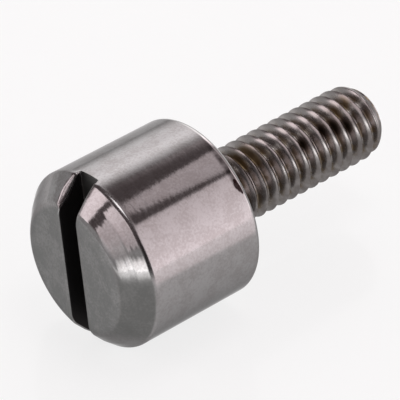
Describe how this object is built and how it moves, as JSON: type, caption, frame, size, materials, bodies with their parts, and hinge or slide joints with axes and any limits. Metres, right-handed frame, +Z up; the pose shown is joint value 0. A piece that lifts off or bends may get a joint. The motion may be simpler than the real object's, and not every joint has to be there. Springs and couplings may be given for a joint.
{
  "type": "presser foot screw",
  "caption": "Slotted screw with a tall plain cylindrical head, bevelled round its face, and a threaded shank, which clamps a presser foot to its bar.",
  "frame": {"origin": "on the screw's axis, in the plane of the flat seat under the head", "axes": "+X along the axis from the slotted face to the tip, +Z up with the screw lying on the side of its head"},
  "size_m": [0.017, 0.0084, 0.0084],
  "materials": {
    "plated_steel": "polished and nickel plated"
  },
  "bodies": {
    "root": {"presser_foot_screw": "plated_steel"}
  },
  "joints": []
}
